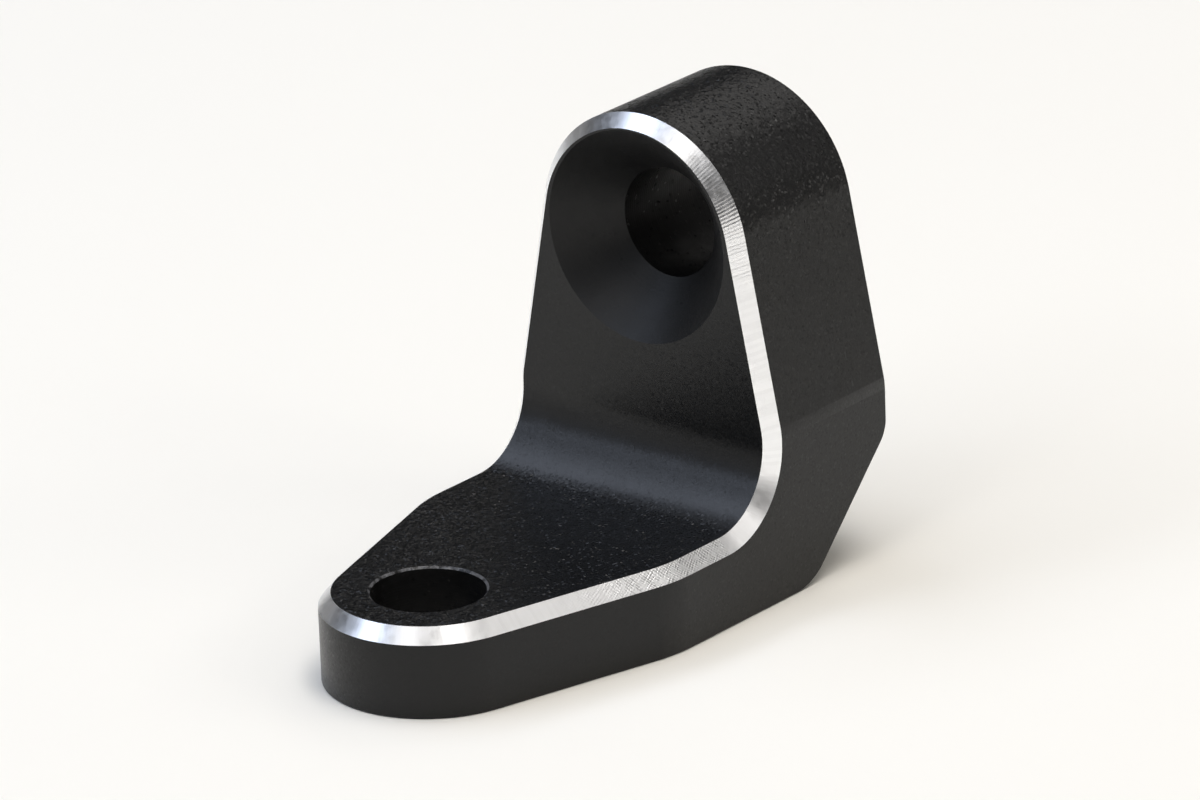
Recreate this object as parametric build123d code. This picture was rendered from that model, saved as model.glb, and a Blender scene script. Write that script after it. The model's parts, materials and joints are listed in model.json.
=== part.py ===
from build123d import *
import math
import os

# A one-piece L bracket: a flat foot with a screw hole, and a thick upright with a countersunk hole.
# Millimetres. +Z is up, the foot points along -Y, and the foot hole's axis meets the base at the origin.

# Holes
foot_hole_diameter = 3.1
arm_hole_diameter = 3.1
countersink_diameter = 6.0
countersink_angle = 90.0
hole_edge_break = 0.06

# Where the holes stand, measured from the base and from the upright's front face
foot_hole_reach = 9.1
arm_hole_height = 9.6

# Walls
foot_thickness = 2.5
upright_thickness = 5.0
width = 9.0

# Round ends of the foot and of the upright
tip_wall = 1.45
tip_centre_setback = 0.1
countersink_rim = 0.15
crown_centre_drop = 0.1

# Round inner corner, and how far the straight sides run past it before they taper, and how softly they turn
inner_corner_radius = 2.0
foot_straight_run = 2.3
foot_taper_blend = 4.0
upright_straight_run = 0.3
upright_taper_blend = 2.0

# Flat cut across the outer corner
corner_cut_depth = 3.4
corner_cut_height = 3.4
corner_cut_upper_radius = 0.8
corner_cut_lower_radius = 1.5

# Bright chamfer round the inner side's outline, across the inner faces and down the side walls
bright_chamfer_across = 0.35
bright_chamfer_down = 0.4

# Soft edge round the outer side's outline
outer_edge_radius = 0.06

# Sizes that follow from those above
half_width = width / 2
tip_radius = foot_hole_diameter / 2 + tip_wall
crown_radius = countersink_diameter / 2 + countersink_rim + bright_chamfer_across
front_face_y = foot_hole_reach
back_face_y = front_face_y + upright_thickness
tip_centre_reach = foot_hole_reach - tip_centre_setback
foot_length = tip_centre_reach + tip_radius
tip_y = front_face_y - foot_length
crown_centre_height = arm_hole_height - crown_centre_drop
height = crown_centre_height + crown_radius
foot_taper_start = inner_corner_radius + foot_straight_run
upright_taper_start = foot_thickness + inner_corner_radius + upright_straight_run
countersink_overhang = (countersink_diameter - arm_hole_diameter) / 2
countersink_depth = countersink_overhang / math.tan(math.radians(countersink_angle / 2))


def side_profile():
    """The L seen from the side: local x is Y and local y is Z."""
    outline = Polyline(
        (tip_y, 0),
        (back_face_y - corner_cut_depth, 0),
        (back_face_y, corner_cut_height),
        (back_face_y, height),
        (front_face_y, height),
        (front_face_y, foot_thickness),
        (tip_y, foot_thickness),
        close=True,
    )
    profile = make_face(outline)

    def corner(y, z):
        return profile.vertices().sort_by_distance((y, z, 0))[0]

    inner = corner(front_face_y, foot_thickness)
    profile = fillet(inner, inner_corner_radius)
    upper = corner(back_face_y, corner_cut_height)
    profile = fillet(upper, corner_cut_upper_radius)
    lower = corner(back_face_y - corner_cut_depth, 0)
    return fillet(lower, corner_cut_lower_radius)


def round_ended_outline(start, taper_start, taper_blend, end_centre, end_radius):
    """A tongue along local y: straight sides up to taper_start, then tapering sides into a round end."""
    rise = end_centre - taper_start
    to_centre = math.hypot(half_width, rise)
    lean = math.atan2(rise, -half_width) - math.asin(end_radius / to_centre)
    taper_length = math.sqrt(to_centre**2 - end_radius**2)
    touch_x = half_width + taper_length * math.cos(lean)
    touch_y = taper_start + taper_length * math.sin(lean)
    right = [(half_width, start), (half_width, taper_start), (touch_x, touch_y)]
    left = [(-x, y) for x, y in reversed(right)]
    edges = [
        FilletPolyline(*right, radius=taper_blend),
        ThreePointArc((touch_x, touch_y), (0, end_centre + end_radius), (-touch_x, touch_y)),
        FilletPolyline(*left, radius=taper_blend),
        Line(left[-1], right[0]),
    ]
    return make_face(edges)


def bracket_blank():
    """What the side profile, the upright's front outline and the foot's top outline have in common."""
    side = extrude(Plane.YZ * side_profile(), half_width, both=True)
    from_back = Plane(origin=(0, back_face_y, 0), x_dir=(1, 0, 0), z_dir=(0, -1, 0))
    upright_outline = round_ended_outline(
        0, upright_taper_start, upright_taper_blend, crown_centre_height, crown_radius
    )
    front = extrude(from_back * upright_outline, back_face_y - tip_y)
    from_top = Plane(origin=(0, front_face_y, height), x_dir=(1, 0, 0), z_dir=(0, 0, -1))
    foot_outline = round_ended_outline(
        -upright_thickness, foot_taper_start, foot_taper_blend, tip_centre_reach, tip_radius
    )
    top = extrude(from_top * foot_outline, height)
    return side & front & top


def level_faces(body):
    """The base and the foot's top, in that order: the only level faces before the holes are cut."""
    return body.faces().filter_by(Axis.Z).sort_by(Axis.Z)


def tip_edge(face):
    """The round edge at the foot's tip. The rest of the outline on that side runs on from it smoothly."""
    return face.edges().sort_by(Axis.Y)[0]


def with_bright_chamfer(body):
    foot_top = level_faces(body)[-1]
    return chamfer(
        tip_edge(foot_top), bright_chamfer_across, length2=bright_chamfer_down, reference=foot_top
    )


def with_soft_outer_edge(body):
    base = level_faces(body)[0]
    return fillet(tip_edge(base), outer_edge_radius)


def funnel(mouth, inner_radius, outer_radius, depth):
    """A cone that widens up to a hole's mouth, a plane that faces out of the hole."""
    return mouth * Pos(0, 0, -depth / 2) * Cone(inner_radius, outer_radius, depth)


def broken_edge(mouth, radius):
    return funnel(mouth, radius, radius + hole_edge_break, hole_edge_break)


def drilled(mouth, radius, depth):
    return mouth * Pos(0, 0, -depth / 2) * Cylinder(radius, depth)


def foot_hole():
    radius = foot_hole_diameter / 2
    upper_mouth = Plane((0, 0, foot_thickness), z_dir=(0, 0, 1))
    lower_mouth = Plane((0, 0, 0), z_dir=(0, 0, -1))
    bore = drilled(upper_mouth, radius, foot_thickness)
    return bore + broken_edge(upper_mouth, radius) + broken_edge(lower_mouth, radius)


def arm_hole():
    radius = arm_hole_diameter / 2
    front_mouth = Plane((0, front_face_y, arm_hole_height), z_dir=(0, -1, 0))
    back_mouth = Plane((0, back_face_y, arm_hole_height), z_dir=(0, 1, 0))
    bore = drilled(front_mouth, radius, upright_thickness)
    countersink = funnel(front_mouth, radius, countersink_diameter / 2, countersink_depth)
    return bore + countersink + broken_edge(back_mouth, radius)


def arm_mount():
    body = bracket_blank()
    body = with_bright_chamfer(body)
    body = with_soft_outer_edge(body)
    return body - foot_hole() - arm_hole()


os.makedirs("parts", exist_ok=True)
export_step(arm_mount(), "parts/arm_mount.step")
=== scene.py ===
import json
import math

import bmesh
import bpy
from bpy.props import FloatProperty, FloatVectorProperty, PointerProperty
from bpy.types import Operator, Panel, PropertyGroup
from mathutils import Matrix, Vector


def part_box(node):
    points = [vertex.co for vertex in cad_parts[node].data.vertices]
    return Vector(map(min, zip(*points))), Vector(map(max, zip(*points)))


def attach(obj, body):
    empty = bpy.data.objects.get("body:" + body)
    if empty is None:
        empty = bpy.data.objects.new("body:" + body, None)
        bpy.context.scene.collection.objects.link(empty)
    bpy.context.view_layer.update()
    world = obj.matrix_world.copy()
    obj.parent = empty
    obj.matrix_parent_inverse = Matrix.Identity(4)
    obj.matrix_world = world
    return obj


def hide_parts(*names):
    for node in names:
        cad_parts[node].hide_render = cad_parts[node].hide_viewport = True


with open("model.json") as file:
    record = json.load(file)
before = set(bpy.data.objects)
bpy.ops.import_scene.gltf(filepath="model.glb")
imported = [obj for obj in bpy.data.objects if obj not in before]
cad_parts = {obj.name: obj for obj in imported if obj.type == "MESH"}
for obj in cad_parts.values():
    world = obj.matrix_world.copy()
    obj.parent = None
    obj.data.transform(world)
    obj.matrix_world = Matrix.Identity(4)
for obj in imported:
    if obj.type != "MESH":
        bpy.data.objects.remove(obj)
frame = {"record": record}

bl_info = {
    "name": "Arm Mount Bracket",
    "version": (1, 0, 0),
    "blender": (4, 5, 0),
    "location": "3D View > Sidebar > Arm Mount",
    "description": "Models a small black anodised L bracket with a bright cut chamfer, and its studio stage",
    "category": "Add Mesh",
}

MM = 0.001
Y, Z = 1, 2

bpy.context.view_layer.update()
NODE = "arm_mount"
BODY = "root"
LOW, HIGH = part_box(NODE)
MOUNTS = {mount["name"]: mount for mount in frame["record"]["mounts"]}
FOOT_HOLE_RADIUS = MOUNTS["foot_hole"]["dims"]["r_mm"] * MM
ARM_HOLE_RADIUS = MOUNTS["arm_hole"]["dims"]["r_mm"] * MM
ARM_HOLE_Z = MOUNTS["arm_hole"]["pos_m"][Z]

# The bracket's material slots, in their order
SKIN, CHAMFER, FOOT_BORE, ARM_BORE, EDGE, CONE = range(6)

# Places this near are on the same line or plane, and flats this near are on the hollow corner's arc
TOUCH = 0.004 * MM
ARC_TOUCH = 0.02 * MM

# Points this near are one point: where a plane cuts, where two solids are combined, and at the end
CUT_POINT = 0.0001 * MM
SOLID_POINT = 0.0004 * MM
END_POINT = 0.0002 * MM

# Faces that meet at a smaller angle, in degrees, become one: on the block, on a prism and on combined solids
BLOCK_FLAT = 1.0
PRISM_FLAT = 0.05
SOLID_FLAT = 0.15

# How much of a face's normal lies along an axis: none, a little, most or all of it
NONE_ALONG = 0.002
LITTLE_ALONG = 0.02
MOST_ALONG = 0.9
ALL_ALONG = 0.999

# How many flats each round form is modelled with
ROUND_END_FLATS = 160
HOLE_FLATS = 128
HOLLOW_CORNER_FLATS = 32
CUT_UPPER_FLATS = 8
CUT_LOWER_FLATS = 12
TAPER_BLEND_FLATS = 6
OUTER_EDGE_FLATS = 3

# How far the block runs past the outlines it is cut to, and a hole cutter past the faces it cuts
SPARE = 1 * MM
FLARE = 0.5 * MM

# The prisms that cut the outlines: how deep they are, and how many rises they reach past the taper's start
PRISM_DEPTH = 40 * MM
PRISM_REACH = 2.2

# Decimal places, in metres, to which heights are compared
MICRON_PLACES = 6

# Edges from this angle on, in degrees, stay sharp, and larger faces lead the shading by this weight
SHARP_FROM = 33
FACE_WEIGHT = 60


# Sizes and colours


def length(name, value, description):
    return FloatProperty(
        name=name,
        description=description,
        default=value,
        min=0.0,
        precision=5,
        unit="LENGTH",
        subtype="DISTANCE",
    )


def angle(name, degrees, description):
    return FloatProperty(
        name=name, description=description, default=math.radians(degrees), unit="ROTATION", subtype="ANGLE"
    )


def share(name, value, description, top=1.0):
    return FloatProperty(name=name, description=description, default=value, min=0.0, max=top, precision=3)


def colour(name, value, description):
    return FloatVectorProperty(
        name=name, description=description, default=value, min=0.0, max=1.0, size=3, subtype="COLOR"
    )


class BracketSizes(PropertyGroup):
    """The bracket's sizes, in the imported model's frame"""

    width: length("Width", HIGH[0] - LOW[0], "Across the two side walls")
    tip_y: length("Foot reach", 2.9 * MM, "From the foot hole's axis to the foot's tip")
    front_y: length("Front face", 9.1 * MM, "From the foot hole's axis to the upright's front face")
    back_y: length("Back face", HIGH[1], "From the foot hole's axis to the upright's back face")
    height: length("Height", HIGH[2], "From the base to the top of the crown")
    foot_thickness: length("Foot thickness", 2.5 * MM, "The foot, from its base to its top")
    tip_radius: length("Tip radius", 3.0 * MM, "The foot's round end, seen from above")
    crown_radius: length("Crown radius", 3.5 * MM, "The upright's round end, seen from the front")
    inner_radius: length("Inner corner radius", 2.0 * MM, "The hollow corner between foot and upright")
    foot_taper_y: length("Foot taper start", 4.8 * MM, "Where the foot's sides begin to taper to the tip")
    foot_taper_blend: length("Foot taper blend", 4.0 * MM, "How softly the foot's sides turn in")
    upright_taper_z: length("Upright taper start", 4.8 * MM, "Where the upright's sides begin to taper")
    upright_taper_blend: length("Upright taper blend", 2.0 * MM, "How softly the upright's sides turn in")
    cut_depth: length("Corner cut depth", 3.4 * MM, "The flat outer cut, measured along the base")
    cut_height: length("Corner cut height", 3.4 * MM, "The flat outer cut, measured up the back")
    cut_upper_radius: length("Cut's upper radius", 0.8 * MM, "Where the cut turns into the back face")
    cut_lower_radius: length("Cut's lower radius", 1.5 * MM, "Where the cut turns into the base")
    chamfer_across: length("Chamfer across", 0.35 * MM, "The bright chamfer, across the inner faces")
    chamfer_down: length("Chamfer down", 0.4 * MM, "The bright chamfer, down the side walls")
    outer_edge: length("Outer edge radius", 0.06 * MM, "The soft edge round the outer side")
    foot_hole_radius: length("Foot hole radius", FOOT_HOLE_RADIUS, "The straight hole in the foot")
    arm_hole_radius: length("Arm hole radius", ARM_HOLE_RADIUS, "The hole in the upright")
    arm_hole_z: length("Arm hole height", ARM_HOLE_Z, "The arm hole's axis above the base")
    countersink_radius: length("Countersink radius", 3.0 * MM, "The countersink's mouth")
    countersink_angle: angle("Countersink angle", 90.0, "The whole angle of the countersink's cone")
    hole_edge: length("Hole edge break", 0.06 * MM, "The small chamfer on each plain mouth")


class BracketFinish(PropertyGroup):
    """The colours and finishes"""

    black: colour("Black anodise", (0.0026, 0.0026, 0.0028), "The blasted and anodised skin")
    black_roughness: share("Black roughness", 0.33, "How broadly the black skin spreads a highlight")
    bore_roughness: share("Bore roughness", 0.5, "The same, inside the two holes")
    cone_roughness: share("Countersink roughness", 0.52, "The same, on the countersink's cone")
    blast_size: length("Blast grain", 0.06 * MM, "The size of the blasted grain")
    # Lighter patches on the holes' edge breaks: partly wear of the skin, partly a painted highlight
    wear_and_painted_highlight: colour("Worn edge", (0.12, 0.12, 0.125), "The holes' edges, where the skin is worn thin")
    metal: colour("Bare metal", (0.95, 0.955, 0.965), "The bright cut chamfer")
    metal_roughness: share("Metal roughness", 0.3, "How broadly the bare metal spreads a highlight")
    feed_pitch: length("Feed pitch", 0.1 * MM, "The distance between the cutter's marks along the chamfer")


class StageSettings(PropertyGroup):
    """The camera, the lamps and the floor"""

    azimuth: angle("Camera azimuth", 39.782, "Round the bracket from its front, towards +X")
    elevation: angle("Camera elevation", 21.225, "Above the floor")
    roll: angle("Camera roll", -2.041, "The camera's tilt about its own line of sight")
    distance: length("Camera distance", 235.3 * MM, "From the aim point to the camera")
    lens: FloatProperty(name="Lens", description="Focal length of the camera", default=262.66, unit="CAMERA")
    lamp_height: length("Lamp height", 0.3, "The lamps above the floor")
    lamp_strength: share("Lamp strength", 1.0, "All the soft lamps together", 4.0)
    room_strength: share("Room strength", 1.0, "The room round the bracket", 4.0)
    room_level: share("Room level", 0.02, "The dim parts of the room")
    cool: colour("Cool light", (0.73, 0.82, 1.0), "The cast of the lamps on the left and far out in front")
    plain: colour("Plain light", (1.0, 0.97, 0.935), "The cast of the other lamps and of the room")
    floor: colour("Floor", (0.95, 0.922, 0.855), "The pale floor")


# Most of a cloud lies between these values
CLOUD_LOW = 0.3
CLOUD_HIGH = 0.7

# How much each black face mirrors: the higher, the stronger
SKIN_IOR = 1.39
FOOT_BORE_IOR = 1.33
ARM_BORE_IOR = 1.2
EDGE_IOR = 1.4
CONE_IOR = 1.44

# The broad sheen over the skin in the hollow corner
CORNER_SHEEN = 0.35
CORNER_SHEEN_ROUGHNESS = 0.5

# The soft lamps over the bracket: name, left and right edge, front and back edge, level and cast.
# Edges are in lamp heights from above the foot's hole.
LAMPS = (
    ("key_lamp", 0.2, 0.5, -0.2, 0.1, 8.4, "plain"),
    ("middle_panel", -0.1, 0.2, -0.2, 0.4, 5.2, "plain"),
    ("left_panel", -0.52, -0.1, -0.2, 0.1, 3.0, "cool"),
    ("left_strip", -0.9, -0.52, -1.15, 0.5, 3.3, "cool"),
    ("front_strip", -0.1, 0.2, -1.15, -0.2, 1.7, "plain"),
    ("front_far_panel", -1.6, 0.2, -1.6, -1.15, 3.8, "cool"),
    ("right_panel", 0.5, 1.9, -0.2, 0.1, 0.6, "plain"),
    ("right_far_strip", 1.3, 1.9, 0.1, 0.4, 4.3, "plain"),
    ("back_right_panel", -0.1, 1.9, 0.4, 0.8, 0.85, "plain"),
    ("right_far_panel", 1.3, 1.9, 0.8, 1.3, 4.7, "plain"),
    ("back_panel", -0.75, 0.2, 0.8, 1.3, 1.4, "plain"),
    ("back_far_panel", -1.3, 1.9, 1.3, 1.9, 0.65, "plain"),
)

# The paler stretches of the room: azimuths from and to and heights from and to, in degrees, and level
GLOWS = (
    (-20, 100, 0, 5, 2.0),
    (60, 100, 5, 13, 1.2),
    (-100, -20, 5, 13, 0.6),
    (100, 180, 5, 24, 0.2),
)
# How softly they end, round the room and in height, in degrees
SOFT_ROUND = 6.0
SOFT_RISE = 1.5

# The point that the camera looks at, and how far the framing moves it right and up, in millimetres
AIM = (0, 7.1, 5.0)
AIM_RIGHT = 0.165
AIM_UP = 0.516
SENSOR_WIDTH = 36.0
CAMERA_REACH = (0.01, 20.0)
FLOOR_WIDTH = 6.0


# Modelling by hand


def fresh_selection(piece):
    if bpy.context.mode != "OBJECT":
        bpy.ops.object.mode_set(mode="OBJECT")
    bpy.ops.object.select_all(action="DESELECT")
    if piece:
        piece.select_set(True)
        bpy.context.view_layer.objects.active = piece


def new_piece(name, primitive, **settings):
    """Adds a primitive on its own and gives it its name, with its place moved into its mesh"""
    fresh_selection(None)
    primitive(**settings)
    piece = bpy.context.object
    piece.name = piece.data.name = name
    bpy.ops.object.transform_apply(location=True, rotation=True, scale=True)
    return piece


def new_cylinder(name, along, flats, radius, depth, place):
    """A cylinder whose axis runs along Y or Z"""
    return new_piece(
        name,
        bpy.ops.mesh.primitive_cylinder_add,
        vertices=flats,
        radius=radius,
        depth=depth,
        location=place,
        rotation=(math.pi / 2, 0, 0) if along == Y else (0, 0, 0),
    )


def edit(piece):
    fresh_selection(piece)
    bpy.ops.object.mode_set(mode="EDIT")
    bpy.ops.mesh.select_all(action="DESELECT")


def done_editing():
    bpy.ops.object.mode_set(mode="OBJECT")


def pick_all():
    bpy.ops.mesh.select_all(action="SELECT")


def pick(kind, wanted):
    """Selects the vertices, edges or faces that wanted says yes to, and stops if there are none"""
    bpy.ops.mesh.select_mode(type=kind)
    bpy.ops.mesh.select_all(action="DESELECT")
    data = bpy.context.edit_object.data
    mesh = bmesh.from_edit_mesh(data)
    mesh.normal_update()
    kinds = {"VERT": mesh.verts, "EDGE": mesh.edges, "FACE": mesh.faces}
    chosen = [part for part in kinds[kind] if wanted(part)]
    if not chosen:
        raise RuntimeError(f"nothing to pick on {bpy.context.edit_object.name}")
    for part in chosen:
        part.select_set(True)
    bmesh.update_edit_mesh(data)


def on_line(edge, **place):
    """True for an edge whose two ends both stand at the coordinates given"""
    return all(abs(getattr(v.co, axis) - at) < TOUCH for v in edge.verts for axis, at in place.items())


def on_axis(axis, value, rest=0.0):
    """Three numbers: the value on the axis, and the rest on the other two"""
    numbers = [rest] * 3
    numbers[axis] = value
    return numbers


def stretch(value):
    bpy.ops.mesh.extrude_region_move(TRANSFORM_OT_translate={"value": value})


def bevel(offset, flats, **settings):
    bpy.ops.mesh.bevel(offset=offset, segments=flats, affect="EDGES", clamp_overlap=False, **settings)


def flatten(degrees, **settings):
    """Makes one face of the selected faces that meet at less than this"""
    bpy.ops.mesh.dissolve_limited(angle_limit=math.radians(degrees), **settings)


def apply_modifiers(piece):
    fresh_selection(piece)
    for modifier in list(piece.modifiers):
        bpy.ops.object.modifier_apply(modifier=modifier.name)


def combine(piece, other, operation):
    """Keeps what two solids share, or cuts one from the other, and removes the second"""
    modifier = piece.modifiers.new(operation.title(), "BOOLEAN")
    modifier.operation = operation
    modifier.solver = "EXACT"
    modifier.object = other
    apply_modifiers(piece)
    fresh_selection(other)
    bpy.ops.object.delete()
    edit(piece)
    pick_all()
    bpy.ops.mesh.remove_doubles(threshold=SOLID_POINT)
    flatten(SOLID_FLAT, delimit={"MATERIAL"})
    done_editing()


def tidy_faces(piece):
    edit(piece)
    pick_all()
    bpy.ops.mesh.remove_doubles(threshold=END_POINT)
    bpy.ops.mesh.normals_make_consistent(inside=False)
    done_editing()


# The bracket's solid


def corner_centre(s):
    """The hollow corner's centre, seen from the side: its Y and Z"""
    return s.front_y - s.inner_radius, s.foot_thickness + s.inner_radius


def crown_centre(s):
    return s.height - s.crown_radius


def side_block(s):
    """The L seen from the side, with its round corners and its corner cut, and longer at both ends"""
    tip = -s.tip_y - SPARE
    middle = (tip + s.back_y) / 2
    block = new_piece(
        "arm_mount_bracket",
        bpy.ops.mesh.primitive_cube_add,
        size=1,
        location=(0, middle, s.foot_thickness / 2),
        scale=(s.width, s.back_y - tip, s.foot_thickness),
    )
    edit(block)
    pick_all()
    bpy.ops.mesh.bisect(plane_co=(0, s.front_y, 0), plane_no=(0, 1, 0), threshold=CUT_POINT)
    pick("FACE", lambda f: f.normal.z > MOST_ALONG and f.calc_center_median().y > s.front_y)
    stretch((0, 0, s.height + SPARE - s.foot_thickness))
    pick_all()
    flatten(BLOCK_FLAT)

    pick("EDGE", lambda e: on_line(e, y=s.front_y, z=s.foot_thickness))
    bevel(s.inner_radius, HOLLOW_CORNER_FLATS)

    pick_all()
    bpy.ops.mesh.bisect(
        plane_co=(0, s.back_y, s.cut_height),
        plane_no=(0, s.cut_height, -s.cut_depth),
        clear_outer=True,
        use_fill=True,
        threshold=CUT_POINT,
    )
    lean = math.atan2(s.cut_height, s.cut_depth)
    corners = (
        (s.back_y, s.cut_height, math.pi / 2 - lean, s.cut_upper_radius, CUT_UPPER_FLATS),
        (s.back_y - s.cut_depth, 0, lean, s.cut_lower_radius, CUT_LOWER_FLATS),
    )
    for y, z, turn, radius, flats in corners:
        pick("EDGE", lambda e: on_line(e, y=y, z=z))
        bevel(radius * math.tan(turn / 2), flats)
    done_editing()
    return block


def taper_lean(half_width, rise, radius):
    """How far a taper turns in from the straight side, so that it runs smoothly into a round end"""
    return math.pi / 2 - math.atan2(rise, half_width) - math.asin(radius / math.hypot(half_width, rise))


def outline_prism(name, s, radius, centre, axis, start, rise):
    """A round end hulled with a wide foot, so that its sides lie on the two tapers. It points up Y or Z"""
    far = start - rise * PRISM_REACH
    half = s.width / 2 + (start - far) * math.tan(taper_lean(s.width / 2, rise, radius))
    through = Y if axis == Z else Z
    prism = new_cylinder(name, through, ROUND_END_FLATS, radius, PRISM_DEPTH, on_axis(axis, centre))
    edit(prism)
    size = [2 * half, radius, radius]
    size[through] = PRISM_DEPTH
    bpy.ops.mesh.primitive_cube_add(size=1, location=on_axis(axis, far - radius / 2), scale=size)
    pick_all()
    bpy.ops.mesh.convex_hull()
    pick_all()
    flatten(PRISM_FLAT)
    done_editing()
    return prism


def mirrored(piece, axis):
    """Turns a prism end for end in its mesh"""
    edit(piece)
    pick_all()
    bpy.ops.transform.resize(value=on_axis(axis, -1.0, 1.0), center_override=(0, 0, 0))
    bpy.ops.mesh.normals_make_consistent(inside=False)
    done_editing()


def bracket_blank(s):
    """The side block, cut to the upright's and the foot's outlines, with the turns into the tapers rounded"""
    block = side_block(s)
    crown_z = crown_centre(s)
    crown_rise = crown_z - s.upright_taper_z
    crown = outline_prism("crown_outline", s, s.crown_radius, crown_z, Z, s.upright_taper_z, crown_rise)
    combine(block, crown, "INTERSECT")
    tip_centre = s.tip_radius - s.tip_y
    tip_rise = s.foot_taper_y - tip_centre
    tip = outline_prism("tip_outline", s, s.tip_radius, -tip_centre, Y, -s.foot_taper_y, tip_rise)
    mirrored(tip, Y)
    combine(block, tip, "INTERSECT")

    half = s.width / 2

    def on_side_wall(edge):
        return all(abs(abs(v.co.x) - half) < TOUCH for v in edge.verts)

    turns = (
        ("z", s.upright_taper_z, s.upright_taper_blend, taper_lean(half, crown_rise, s.crown_radius)),
        ("y", s.foot_taper_y, s.foot_taper_blend, taper_lean(half, tip_rise, s.tip_radius)),
    )
    edit(block)
    for axis, at, radius, turn in turns:
        pick("EDGE", lambda e: on_line(e, **{axis: at}) and on_side_wall(e))
        bevel(radius * math.tan(turn / 2), TAPER_BLEND_FLATS)
    done_editing()
    return block


def is_inner(face, s):
    """The foot's top, the hollow corner and the upright's front face"""
    n, c = face.normal, face.calc_center_median()
    if abs(n.x) > NONE_ALONG:
        return False
    if n.z > ALL_ALONG and abs(c.z - s.foot_thickness) < TOUCH:
        return True
    if n.y < -ALL_ALONG and abs(c.y - s.front_y) < TOUCH:
        return True
    y, z = corner_centre(s)
    reach = math.hypot(c.y - y, c.z - z)
    return c.y > y and c.z < z and abs(reach - s.inner_radius) < ARC_TOUCH


def is_outer(face):
    """The base, the corner cut and the back face"""
    n = face.normal
    return abs(n.x) < NONE_ALONG and (n.y > LITTLE_ALONG or n.z < -LITTLE_ALONG)


def on_rim(edge, test):
    """True for an edge with the faces that test says yes to on one side only"""
    return sum(1 for f in edge.link_faces if test(f)) == 1


def cut_bright_chamfer(block, s):
    """Bevels the inner side's outline, then moves the bevel's outer line further down the side walls"""
    edit(block)
    pick("EDGE", lambda e: on_rim(e, lambda f: is_inner(f, s)))
    bevel(s.chamfer_across, 1, material=CHAMFER)
    extra = s.chamfer_down - s.chamfer_across
    y, z = corner_centre(s)

    def on_outer_line(v):
        bright = any(f.material_index == CHAMFER for f in v.link_faces)
        return bright and not any(is_inner(f, s) for f in v.link_faces)

    pick("VERT", lambda v: on_outer_line(v) and v.co.y < y + TOUCH)
    bpy.ops.transform.translate(value=(0, 0, -extra))
    pick("VERT", lambda v: on_outer_line(v) and v.co.z > z - TOUCH)
    bpy.ops.transform.translate(value=(0, extra, 0))
    pick("VERT", lambda v: on_outer_line(v) and v.co.y > y + TOUCH and v.co.z < z - TOUCH)
    reach = s.inner_radius + s.chamfer_across
    grow = (reach + extra) / reach
    bpy.ops.transform.resize(value=(1, grow, grow), center_override=(0, y, z))
    done_editing()


def soften_outer_edge(block, s):
    edit(block)
    pick("EDGE", lambda e: on_rim(e, is_outer))
    bevel(s.outer_edge, OUTER_EDGE_FLATS)
    done_editing()


def hole_cutter(name, axis, radius, near, far, near_rise, far_rise):
    """A drill's shape from near to far along Y or Z, flared at each end past the face by its rise"""
    middle = on_axis(axis, (near + far) / 2)
    cutter = new_cylinder(name, axis, HOLE_FLATS, radius, far - near, middle)

    def is_end(face, at):
        return abs(face.calc_center_median()[axis] - at) < TOUCH and abs(face.normal[axis]) > MOST_ALONG

    edit(cutter)
    for at, rise, way in ((near, near_rise, -1), (far, far_rise, 1)):
        pick("FACE", lambda f: is_end(f, at))
        stretch(on_axis(axis, way * rise))
        wider = on_axis(axis, 1, (radius + rise) / radius)
        bpy.ops.transform.resize(value=wider, center_override=on_axis(axis, at + way * rise))
    done_editing()
    return cutter


def paint_cutter(cutter, axis, near, far, parts, slots):
    """Gives the near flare, the bore and the far flare of a cutter their own material slots"""
    for material in slots:
        cutter.data.materials.append(material)
    near_slot, bore_slot, far_slot = parts
    for face in cutter.data.polygons:
        at = face.center[axis]
        if at < near - TOUCH:
            face.material_index = near_slot
        elif at > far + TOUCH:
            face.material_index = far_slot
        else:
            face.material_index = bore_slot


def drill_holes(block, s, slots):
    near, far = s.hole_edge, s.foot_thickness - s.hole_edge
    rise = s.hole_edge + FLARE
    cutter = hole_cutter("foot_drill", Z, s.foot_hole_radius, near, far, rise, rise)
    paint_cutter(cutter, Z, near, far, (EDGE, FOOT_BORE, EDGE), slots)
    combine(block, cutter, "DIFFERENCE")

    depth = (s.countersink_radius - s.arm_hole_radius) / math.tan(s.countersink_angle / 2)
    near, far = s.front_y + depth, s.back_y - s.hole_edge
    cutter = hole_cutter("arm_drill", Y, s.arm_hole_radius, near, far, depth + FLARE, rise)
    edit(cutter)
    pick_all()
    bpy.ops.transform.translate(value=(0, 0, s.arm_hole_z))
    done_editing()
    paint_cutter(cutter, Y, near, far, (CONE, ARM_BORE, EDGE), slots)
    combine(block, cutter, "DIFFERENCE")


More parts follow.
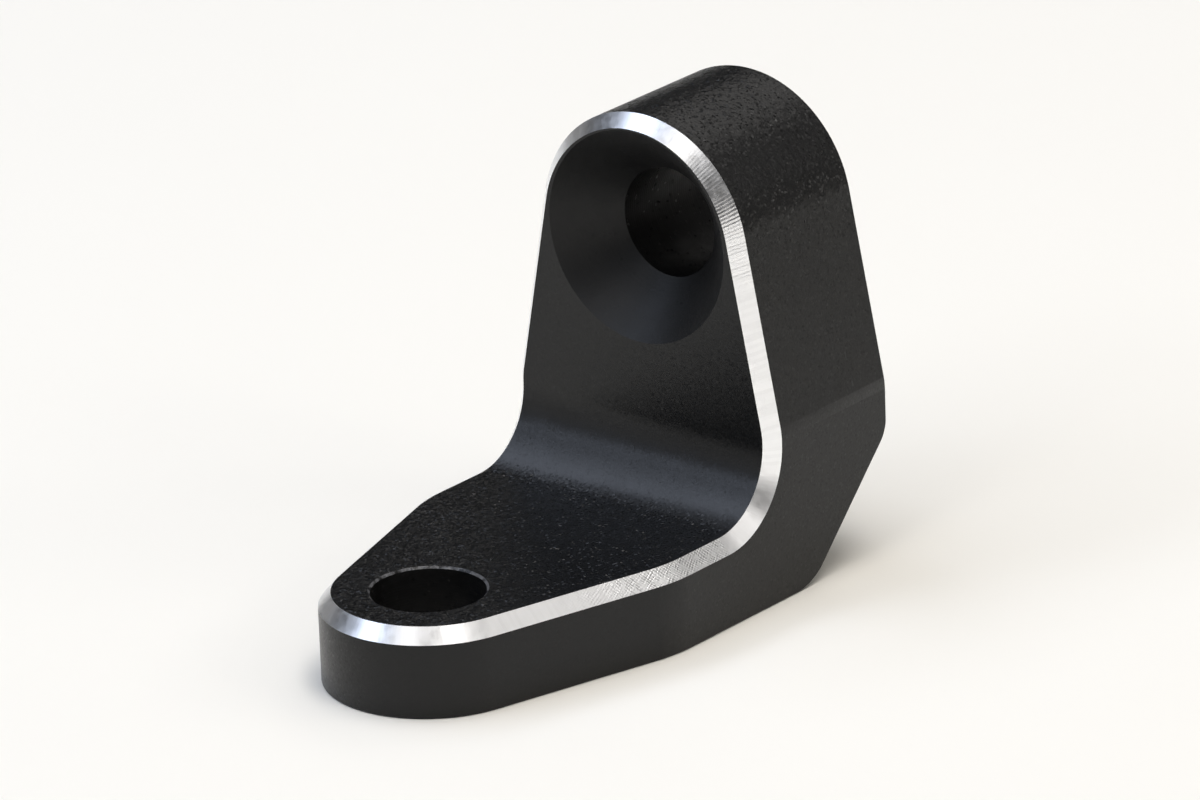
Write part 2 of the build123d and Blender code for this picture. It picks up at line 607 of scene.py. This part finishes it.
def lay_chamfer_map(block, s):
    """Unrolls the bright chamfer from the top of the crown: along its run and across it, in millimetres"""
    edit(block)
    data = bpy.context.edit_object.data
    mesh = bmesh.from_edit_mesh(data)
    layer = mesh.loops.layers.uv.new("chamfer_run")
    bright = {f for f in mesh.faces if f.material_index == CHAMFER}

    def cross_edges(face):
        return [e for e in face.edges if sum(1 for f in e.link_faces if f in bright) == 2]

    def ends(edge):
        inner = [v for v in edge.verts if any(is_inner(f, s) for f in v.link_faces)]
        if len(inner) != 1:
            raise RuntimeError("the chamfer's cross edges aren't between its two outlines")
        return inner[0], edge.other_vert(inner[0])

    def from_the_top(edge):
        first, second = edge.verts
        return round(-(first.co.z + second.co.z), MICRON_PLACES), first.co.x

    edge = min((e for f in bright for e in cross_edges(f)), key=from_the_top)
    run, left = 0.0, set(bright)
    while True:
        ahead = [f for f in edge.link_faces if f in left]
        if not ahead:
            break
        face = ahead[0]
        left.discard(face)
        other = next(e for e in cross_edges(face) if e is not edge)
        (a, b), (c, d) = ends(edge), ends(other)
        step = ((a.co + b.co) / 2 - (c.co + d.co) / 2).length
        wide = (a.co - b.co).length
        place = {a: (run, wide), b: (run, 0.0), c: (run + step, wide), d: (run + step, 0.0)}
        for loop in face.loops:
            along, across = place[loop.vert]
            loop[layer].uv = (along / MM, across / MM)
        run += step
        edge = other
    if left:
        raise RuntimeError(f"{len(left)} chamfer faces are not on the run")
    bmesh.update_edit_mesh(data)
    done_editing()


# Materials


def put(tree, socket, value):
    """Links a socket to another one, or sets it to a plain value"""
    if isinstance(value, bpy.types.NodeSocket):
        tree.links.new(value, socket)
    else:
        socket.default_value = value


def add(tree, kind, settings=None, **values):
    """Adds a node and sets its own settings and its inputs, which go by name, or as i and their number"""
    node = tree.nodes.new(kind)
    for key, value in (settings or {}).items():
        setattr(node, key, value)
    for key, value in values.items():
        numbered = key[0] == "i" and key[1:].isdigit()
        put(tree, node.inputs[int(key[1:]) if numbered else key.replace("_", " ")], value)
    return node


def maths(tree, operation, *values):
    node = add(tree, "ShaderNodeMath", {"operation": operation})
    for socket, value in zip(node.inputs, values):
        put(tree, socket, value)
    return node.outputs[0]


def times(tree, *values):
    product = values[0]
    for value in values[1:]:
        product = maths(tree, "MULTIPLY", product, value)
    return product


def plus(tree, *values):
    total = values[0]
    for value in values[1:]:
        total = maths(tree, "ADD", total, value)
    return total


def vector_maths(tree, operation, **values):
    return add(tree, "ShaderNodeVectorMath", {"operation": operation}, **values).outputs[0]


def remap(tree, value, low, high, to_low, to_high, kind="LINEAR"):
    """Goes from to_low to to_high while the value goes from low to high, and no further"""
    settings = {"interpolation_type": kind, "clamp": True}
    node = add(tree, "ShaderNodeMapRange", settings, i0=value, i1=low, i2=high, i3=to_low, i4=to_high)
    return node.outputs[0]


def fade(tree, value, low, high, to_low=0.0, to_high=1.0):
    """The same with a soft start and a soft end. Low may be above high"""
    return remap(tree, value, low, high, to_low, to_high, "SMOOTHSTEP")


def band(tree, value, low, high, soft):
    """A mask for the angles from low to high, in degrees, with soft edges"""
    rising = fade(tree, value, math.radians(low - soft), math.radians(low + soft))
    falling = fade(tree, value, math.radians(high - soft), math.radians(high + soft), 1.0, 0.0)
    return times(tree, rising, falling)


def by_mask(tree, mask, outside, inside):
    """One value outside a mask, and another inside it"""
    return remap(tree, mask, 0.0, 1.0, outside, inside)


def noise(tree, place, scale, **values):
    return add(tree, "ShaderNodeTexNoise", None, Vector=place, Scale=scale, **values).outputs[0]


def node_group(name, inputs, outputs):
    """A new group, the values given to it, and the sockets for what it puts out"""
    group = bpy.data.node_groups.new(name, "ShaderNodeTree")
    for kind, label, value in inputs:
        socket = group.interface.new_socket(label, in_out="INPUT", socket_type=kind)
        if value is not None:
            socket.default_value = value
    for kind, label in outputs:
        group.interface.new_socket(label, in_out="OUTPUT", socket_type=kind)
    return group, group.nodes.new("NodeGroupInput").outputs, group.nodes.new("NodeGroupOutput").inputs


def blast_grain_group():
    """Bead blasting: a fine height with a coarse mottle, a cloud, and a normal that tips grains to glint"""
    group, given, out = node_group(
        "Blast Grain",
        [
            ("NodeSocketVector", "Vector", None),
            ("NodeSocketVector", "Normal", None),
            ("NodeSocketFloat", "Size", 0.04 * MM),
            ("NodeSocketFloat", "Cloud Size", 0.8 * MM),
            ("NodeSocketFloat", "Glint Share", 0.1),
            ("NodeSocketFloat", "Glint Tilt", 0.8),
            ("NodeSocketFloat", "Mottle", 1.0),
        ],
        [
            ("NodeSocketFloat", "Height"),
            ("NodeSocketVector", "Normal"),
            ("NodeSocketFloat", "Cloud"),
        ],
    )
    coarse_share, pit_depth = 0.3, 0.5
    middle_grey = (0.5, 0.5, 0.5)
    place = given["Vector"]
    scale = maths(group, "DIVIDE", 1.0, given["Size"])
    fine = noise(group, place, scale, Detail=2.0, Roughness=0.6)
    cells = add(group, "ShaderNodeTexVoronoi", None, Vector=place, Scale=scale).outputs
    coarse = noise(group, place, times(group, scale, coarse_share))
    grains = maths(group, "SUBTRACT", fine, times(group, cells["Distance"], pit_depth))
    height = plus(group, grains, times(group, coarse, given["Mottle"]))

    chance = add(group, "ShaderNodeTexWhiteNoise", None, Vector=cells["Color"]).outputs["Value"]
    limit = maths(group, "SUBTRACT", 1.0, given["Glint Share"])
    tilt = times(group, maths(group, "GREATER_THAN", chance, limit), given["Glint Tilt"])
    lean = vector_maths(group, "SUBTRACT", i0=cells["Color"], i1=middle_grey)
    push = vector_maths(group, "SCALE", i0=lean, Scale=tilt)
    tipped = vector_maths(group, "ADD", i0=given["Normal"], i1=push)

    cloud_scale = maths(group, "DIVIDE", 1.0, given["Cloud Size"])
    group.links.new(height, out["Height"])
    group.links.new(vector_maths(group, "NORMALIZE", i0=tipped), out["Normal"])
    group.links.new(noise(group, place, cloud_scale, Detail=3.0), out["Cloud"])
    return group


def tool_lines_group():
    """Fine lines that a cutter leaves: evenly spaced along one way, a little wavy, and uneven in depth"""
    group, given, out = node_group(
        "Tool Lines",
        [
            ("NodeSocketFloat", "Along", 0.0),
            ("NodeSocketFloat", "Across", 0.0),
            ("NodeSocketFloat", "Pitch", 0.1),
            ("NodeSocketFloat", "Wander", 0.2),
        ],
        [("NodeSocketFloat", "Height"), ("NodeSocketFloat", "Streak")],
    )
    waves, middle, least_depth = 1.3, 0.5, 0.3
    spot = add(group, "ShaderNodeCombineXYZ", None, X=given["Along"], Y=given["Across"]).outputs[0]
    off_line = maths(group, "SUBTRACT", noise(group, spot, waves, Detail=2.0), middle)
    moved = plus(group, given["Along"], times(group, off_line, given["Wander"]))
    turns = maths(group, "DIVIDE", moved, given["Pitch"])
    wave = maths(group, "SINE", times(group, turns, 2 * math.pi))
    line = add(group, "ShaderNodeCombineXYZ", None, X=maths(group, "FLOOR", turns)).outputs[0]
    streak = add(group, "ShaderNodeTexWhiteNoise", None, Vector=line).outputs["Value"]
    depth = plus(group, times(group, streak, 1 - least_depth), least_depth)
    group.links.new(times(group, wave, depth), out["Height"])
    group.links.new(streak, out["Streak"])
    return group


def new_material(name):
    material = bpy.data.materials.new(name)
    material.use_nodes = True
    tree = material.node_tree
    shader = next(n for n in tree.nodes if n.type == "BSDF_PRINCIPLED")
    return material, tree, shader


def place_on(tree):
    return add(tree, "ShaderNodeTexCoord").outputs["Object"]


def split(tree, vector):
    return add(tree, "ShaderNodeSeparateXYZ", None, Vector=vector).outputs


def surface_normal(tree):
    return add(tree, "ShaderNodeNewGeometry").outputs["Normal"]


def facing_up(tree):
    """How far the surface faces up, from its own normal"""
    return split(tree, surface_normal(tree))[Z]


def grain_on(tree, grain, place, **values):
    """Lays the blast grain on a material, with the surface's own normal under it"""
    normal = surface_normal(tree)
    return add(tree, "ShaderNodeGroup", {"node_tree": grain}, Vector=place, Normal=normal, **values).outputs


def lines_on(tree, lines, along, across, pitch, wander):
    """Lays the cutter's lines on a material, all in millimetres"""
    values = {"Along": along, "Across": across, "Pitch": pitch, "Wander": wander}
    return add(tree, "ShaderNodeGroup", {"node_tree": lines}, **values).outputs


def relief(tree, shader, height, distance, under=None):
    """Raises a height on a shader's normal, over the tipped grains where they are given"""
    bump = add(tree, "ShaderNodeBump", None, Strength=1.0, Distance=distance, Height=height)
    if under is not None:
        tree.links.new(under, bump.inputs["Normal"])
    tree.links.new(bump.outputs[0], shader.inputs["Normal"])


def shade(base, factor):
    return [min(c * factor, 1.0) for c in base]


def tint(tree, shader, amount, first, second):
    """Mixes two colours into the base colour. A Mix node's colours are its inputs 6 and 7 and its output 2"""
    mix = add(tree, "ShaderNodeMix", {"data_type": "RGBA"}, i0=amount, i6=(*first, 1.0), i7=(*second, 1.0))
    tree.links.new(mix.outputs[2], shader.inputs["Base Color"])


def drift(tree, shader, mask, reach, base, factor):
    """Lets a base colour drift with a mask, part of the way to a paler or darker shade of itself"""
    tint(tree, shader, times(tree, mask, reach), base, shade(base, factor))


def cloud_roughness(tree, shader, cloud, roughness, less, more):
    """Lets the roughness drift with a cloud"""
    rough = remap(tree, cloud, CLOUD_LOW, CLOUD_HIGH, roughness - less, roughness + more)
    tree.links.new(rough, shader.inputs["Roughness"])


def blasted_black(s, finish, grain):
    """The anodised skin, near black: blasted coarser on the foot and crown, with a sheen in the corner"""
    material, tree, shader = new_material("Black Anodised Blasted")
    place = place_on(tree)
    spot = split(tree, place)
    foot_top, crown_z = s.foot_thickness, crown_centre(s)
    corner_top = corner_centre(s)[1]

    low_down = fade(tree, spot[Z], foot_top + 0.25 * MM, foot_top + 0.02 * MM)
    on_foot = times(tree, low_down, fade(tree, facing_up(tree), 0.85, 0.98))
    high_up = fade(tree, spot[Z], crown_z - 1.0 * MM, crown_z + 1.0 * MM, 0.0, 0.75)
    on_crown = times(tree, high_up, fade(tree, facing_up(tree), 0.05, 0.5))
    open_grain = maths(tree, "MAXIMUM", on_foot, on_crown)
    walls_mottle, foot_mottle, crown_mottle = 1.0, 4.0, 6.5
    mottle = plus(tree, times(tree, on_foot, foot_mottle), times(tree, on_crown, crown_mottle), walls_mottle)

    off_foot = fade(tree, spot[Z], foot_top + 0.01 * MM, foot_top + 0.1 * MM)
    below_upright = fade(tree, spot[Z], corner_top + 0.5 * MM, corner_top - 0.1 * MM)
    in_corner = times(tree, off_foot, below_upright, fade(tree, facing_up(tree), 0.1, 0.35))

    blast = grain_on(
        tree,
        grain,
        place,
        Size=finish.blast_size,
        Cloud_Size=1.1 * MM,
        Glint_Share=0.45,
        Glint_Tilt=by_mask(tree, open_grain, 0.1, 0.7),
        Mottle=mottle,
    )
    drift(tree, shader, blast["Cloud"], 0.4, finish.black, 2.2)
    cloud_roughness(tree, shader, blast["Cloud"], finish.black_roughness, less=0.02, more=0.02)
    tree.links.new(by_mask(tree, in_corner, 0.0, CORNER_SHEEN), shader.inputs["Coat Weight"])
    shader.inputs["Coat Roughness"].default_value = CORNER_SHEEN_ROUGHNESS
    raised = times(tree, blast["Height"], by_mask(tree, open_grain, 0.4, 1.4))
    relief(tree, shader, raised, 0.0045 * MM, blast["Normal"])
    shader.inputs["IOR"].default_value = SKIN_IOR
    return material


def drilled_black(name, axis, ior, finish, grain, lines):
    """A drilled wall under the same skin, rougher, with faint rings left by the drill"""
    material, tree, shader = new_material(name)
    place = place_on(tree)
    spot = split(tree, place)
    rings = lines_on(tree, lines, times(tree, spot[axis], 1 / MM), 0.0, pitch=0.085, wander=0.02)
    blast = grain_on(tree, grain, place, Size=finish.blast_size * 1.1, Cloud_Size=0.5 * MM, Glint_Share=0.05)
    ring_depth, grain_depth = 0.3, 0.7
    height = plus(tree, times(tree, rings["Height"], ring_depth), times(tree, blast["Height"], grain_depth))
    relief(tree, shader, height, 0.004 * MM, blast["Normal"])
    drift(tree, shader, rings["Streak"], 0.4, finish.black, 1.6)
    cloud_roughness(tree, shader, blast["Cloud"], finish.bore_roughness, less=0.05, more=0.05)
    shader.inputs["IOR"].default_value = ior
    return material


def turned_black(finish, grain, lines):
    """The countersink's cone under the same skin: duller than the outer walls, with faint turned rings"""
    material, tree, shader = new_material("Black Anodised Countersink")
    place = place_on(tree)
    spot = split(tree, place)
    rings = lines_on(tree, lines, times(tree, spot[Y], 1 / MM), 0.0, pitch=0.09, wander=0.01)
    blast = grain_on(
        tree, grain, place, Size=finish.blast_size, Cloud_Size=0.8 * MM, Glint_Share=0.1, Glint_Tilt=0.15
    )
    ring_depth, grain_depth = 0.12, 0.6
    height = plus(tree, times(tree, rings["Height"], ring_depth), times(tree, blast["Height"], grain_depth))
    relief(tree, shader, height, 0.0028 * MM, blast["Normal"])
    drift(tree, shader, blast["Cloud"], 0.4, finish.black, 1.8)
    cloud_roughness(tree, shader, blast["Cloud"], finish.cone_roughness, less=0.03, more=0.03)
    shader.inputs["IOR"].default_value = CONE_IOR
    return material


def edge_wear_and_painted_highlight(finish, grain):
    """The small edge breaks of the holes, where the skin is thin: lighter in patches that are part wear, part
    painted highlight, and smoother there so they catch the light
    """
    material, tree, shader = new_material("Black Anodised Edge")
    place = place_on(tree)
    blast = grain_on(tree, grain, place, Size=finish.blast_size, Cloud_Size=0.35 * MM, Glint_Share=0.3)
    # Lighter patches on the edge breaks: partly wear, partly a painted highlight
    wear_and_painted_highlight = fade(tree, blast["Cloud"], 0.42, 0.56)
    tint(tree, shader, wear_and_painted_highlight, shade(finish.black, 1.5), finish.wear_and_painted_highlight)
    tree.links.new(by_mask(tree, wear_and_painted_highlight, 0.36, 0.3), shader.inputs["Roughness"])
    relief(tree, shader, blast["Height"], 0.006 * MM, blast["Normal"])
    shader.inputs["IOR"].default_value = EDGE_IOR
    return material


def bright_chamfer(s, finish, grain, lines):
    """Bare cut metal: the cutter's marks round the crown, and a crosshatch on the foot, near the corner, with
    painted shade in its grooves
    """
    material, tree, shader = new_material("Bright Cut Chamfer")
    run = add(tree, "ShaderNodeUVMap", {"uv_map": "chamfer_run"}).outputs[0]
    along, across, _ = split(tree, run)
    place = place_on(tree)
    spot = split(tree, place)
    crown_z, corner_y = crown_centre(s), corner_centre(s)[0]

    above_taper = fade(tree, spot[Z], crown_z - 1.3 * MM, crown_z - 0.1 * MM, 0.1)
    below_top = fade(tree, spot[Z], s.height - 0.8 * MM, s.height - 1.5 * MM, 0.2)
    on_crown = times(tree, above_taper, below_top)
    before_corner = fade(tree, spot[Y], corner_y + 0.1 * MM, corner_y - 0.05 * MM)
    near_corner = fade(tree, spot[Y], s.foot_taper_y - 3.8 * MM, s.foot_taper_y)
    on_foot = times(tree, before_corner, near_corner)

    def marks(along_share, across_share, pitch, wander):
        way = plus(tree, times(tree, along, along_share), times(tree, across, across_share))
        return lines_on(tree, lines, way, across, pitch, wander)

    pitch = finish.feed_pitch / MM
    feed = marks(1.0, 0.12, pitch, 0.05)
    hatch = marks(0.8, 0.6, pitch * 0.8, 0.2)
    counter_hatch = marks(0.55, -0.83, pitch * 0.75, 0.2)
    both_hatches = plus(tree, hatch["Height"], counter_hatch["Height"])
    cloud = grain_on(tree, grain, place, Cloud_Size=0.2 * MM)["Cloud"]
    patchy = remap(tree, cloud, 0.38, 0.6, 0.1, 1.7)
    fine_size = 0.07 * MM
    fine = noise(tree, place, 1 / fine_size, Detail=2.0)
    crown_depth, foot_depth, fine_depth, cloud_depth = 1.5, 2.2, 1.5, 0.8
    crossed = plus(tree, times(tree, both_hatches, patchy), times(tree, fine, fine_depth))
    crown_marks = times(tree, feed["Height"], times(tree, on_crown, crown_depth))
    foot_marks = times(tree, crossed, times(tree, on_foot, foot_depth))
    height = plus(tree, crown_marks, foot_marks, times(tree, cloud, cloud_depth))
    relief(tree, shader, height, 0.0013 * MM)

    # Painted shade: near the corner, the crosshatch's grooves are painted darker, and each feed line also
    # gets its own random darker tone
    low_lines = remap(tree, both_hatches, -0.9, 0.7, 0.75, 0.0)
    painted_groove_shade = times(tree, low_lines, on_foot, patchy)
    darker = plus(tree, times(tree, feed["Streak"], 0.12), painted_groove_shade)
    tint(tree, shader, darker, finish.metal, shade(finish.metal, 0.5))
    cloud_roughness(tree, shader, cloud, finish.metal_roughness, less=0.01, more=0.08)
    shader.inputs["Metallic"].default_value = 1.0
    return material


def floor_paper(stage):
    """Plain pale paper, with a faint unevenness of tone"""
    material, tree, shader = new_material("Pale Paper")
    place = place_on(tree)
    clouds_per_metre = 60.0
    drift(tree, shader, noise(tree, place, clouds_per_metre, Detail=2.0), 1.0, stage.floor, 0.985)
    shader.inputs["Roughness"].default_value = 0.9
    shader.inputs["Specular IOR Level"].default_value = 0.0
    return material


# The stage


def lay_floor(stage):
    floor = new_piece("floor", bpy.ops.mesh.primitive_plane_add, size=FLOOR_WIDTH)
    floor.data.materials.append(floor_paper(stage))


def hang_lamps(stage):
    """The level is a lamp's brightness, so its power grows with its size"""
    high = stage.lamp_height
    for name, left, right, front, back, level, cast in LAMPS:
        fresh_selection(None)
        middle = ((left + right) / 2 * high, (front + back) / 2 * high, high)
        bpy.ops.object.light_add(type="AREA", location=middle)
        lamp = bpy.context.object
        lamp.name = lamp.data.name = name
        lamp.data.shape = "RECTANGLE"
        lamp.data.size, lamp.data.size_y = (right - left) * high, (back - front) * high
        lamp.data.energy = level * stage.lamp_strength * math.pi * lamp.data.size * lamp.data.size_y
        lamp.data.color = getattr(stage, cast)


def dim_room(scene, stage):
    """A dim room with a few paler stretches low down"""
    world = bpy.data.worlds.new("Studio Room")
    scene.world = world
    world.use_nodes = True
    tree = world.node_tree
    background = next(n for n in tree.nodes if n.type == "BACKGROUND")
    way = add(tree, "ShaderNodeTexCoord").outputs["Generated"]
    across, forward, upward = split(tree, way)
    turn = maths(tree, "ARCTAN2", across, times(tree, forward, -1.0))
    rise = maths(tree, "ARCSINE", upward)
    level = stage.room_level
    for left, right, low, high, glow in GLOWS:
        round_about = band(tree, turn, left, right, SOFT_ROUND)
        inside = times(tree, round_about, band(tree, rise, low, high, SOFT_RISE))
        level = plus(tree, times(tree, inside, glow), level)
    tree.links.new(times(tree, level, stage.room_strength), background.inputs["Strength"])
    background.inputs["Color"].default_value = (*stage.plain, 1.0)


def set_camera(scene, stage):
    sin_a, cos_a = math.sin(stage.azimuth), math.cos(stage.azimuth)
    sin_e, cos_e = math.sin(stage.elevation), math.cos(stage.elevation)
    right = Vector((cos_a, sin_a, 0))
    up = Vector((-sin_a * sin_e, cos_a * sin_e, cos_e))
    back = Vector((sin_a * cos_e, -cos_a * cos_e, sin_e))
    aim = Vector(AIM) * MM + right * AIM_RIGHT * MM + up * AIM_UP * MM
    sin_r, cos_r = math.sin(stage.roll), math.cos(stage.roll)
    turned_right = right * cos_r + up * sin_r
    turned_up = up * cos_r - right * sin_r
    turn = Matrix((turned_right, turned_up, back)).transposed().to_euler()
    fresh_selection(None)
    bpy.ops.object.camera_add(location=aim + back * stage.distance, rotation=turn)
    camera = bpy.context.object
    camera.name = camera.data.name = "photo_camera"
    camera.data.sensor_width = SENSOR_WIDTH
    camera.data.lens = stage.lens
    camera.data.clip_start, camera.data.clip_end = CAMERA_REACH
    scene.camera = camera


# Operators


class ARMMOUNT_OT_bracket(Operator):
    """Model the bracket, lay its chamfer's map and give it its finishes"""

    bl_idname = "arm_mount.bracket"
    bl_label = "Bracket"
    bl_options = {"REGISTER", "UNDO"}

    def execute(self, context):
        s, finish = context.scene.bracket_sizes, context.scene.bracket_finish
        grain, lines = blast_grain_group(), tool_lines_group()
        finishes = {
            SKIN: blasted_black(s, finish, grain),
            CHAMFER: bright_chamfer(s, finish, grain, lines),
            FOOT_BORE: drilled_black("Black Anodised Foot Hole", Z, FOOT_BORE_IOR, finish, grain, lines),
            ARM_BORE: drilled_black("Black Anodised Arm Hole", Y, ARM_BORE_IOR, finish, grain, lines),
            EDGE: edge_wear_and_painted_highlight(finish, grain),
            CONE: turned_black(finish, grain, lines),
        }
        slots = [finishes[slot] for slot in sorted(finishes)]
        block = bracket_blank(s)
        for material in slots:
            block.data.materials.append(material)
        cut_bright_chamfer(block, s)
        soften_outer_edge(block, s)
        lay_chamfer_map(block, s)
        drill_holes(block, s, slots)
        tidy_faces(block)
        fresh_selection(block)
        bpy.ops.object.shade_smooth_by_angle(angle=math.radians(SHARP_FROM))
        even = block.modifiers.new("Even Faces", "WEIGHTED_NORMAL")
        even.keep_sharp = True
        even.weight = FACE_WEIGHT
        apply_modifiers(block)
        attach(block, BODY)
        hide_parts(NODE)
        return {"FINISHED"}


class ARMMOUNT_OT_stage(Operator):
    """Lay the pale floor, hang the soft lamps, dim the room and set the camera"""

    bl_idname = "arm_mount.stage"
    bl_label = "Stage"
    bl_options = {"REGISTER", "UNDO"}

    def execute(self, context):
        scene, stage = context.scene, context.scene.bracket_stage
        lay_floor(stage)
        hang_lamps(stage)
        dim_room(scene, stage)
        set_camera(scene, stage)
        scene.view_settings.view_transform = "Standard"
        return {"FINISHED"}


class ARMMOUNT_PT_panel(Panel):
    """Lists the bracket's steps and its settings"""

    bl_idname = "ARMMOUNT_PT_panel"
    bl_label = "Arm Mount Bracket"
    bl_space_type = "VIEW_3D"
    bl_region_type = "UI"
    bl_category = "Arm Mount"

    def draw(self, context):
        for owner, operator in (
            (context.scene.bracket_sizes, ARMMOUNT_OT_bracket),
            (context.scene.bracket_finish, None),
            (context.scene.bracket_stage, ARMMOUNT_OT_stage),
        ):
            box = self.layout.box()
            for name in owner.__annotations__:
                box.prop(owner, name)
            if operator:
                box.operator(operator.bl_idname)


CLASSES = (
    BracketSizes,
    BracketFinish,
    StageSettings,
    ARMMOUNT_OT_bracket,
    ARMMOUNT_OT_stage,
    ARMMOUNT_PT_panel,
)


def register():
    for cls in CLASSES:
        bpy.utils.register_class(cls)
    bpy.types.Scene.bracket_sizes = PointerProperty(type=BracketSizes)
    bpy.types.Scene.bracket_finish = PointerProperty(type=BracketFinish)
    bpy.types.Scene.bracket_stage = PointerProperty(type=StageSettings)


def unregister():
    del bpy.types.Scene.bracket_stage
    del bpy.types.Scene.bracket_finish
    del bpy.types.Scene.bracket_sizes
    for cls in reversed(CLASSES):
        bpy.utils.unregister_class(cls)


def main():
    register()
    bpy.ops.arm_mount.bracket()
    bpy.ops.arm_mount.stage()


if __name__ == "__main__":
    main()
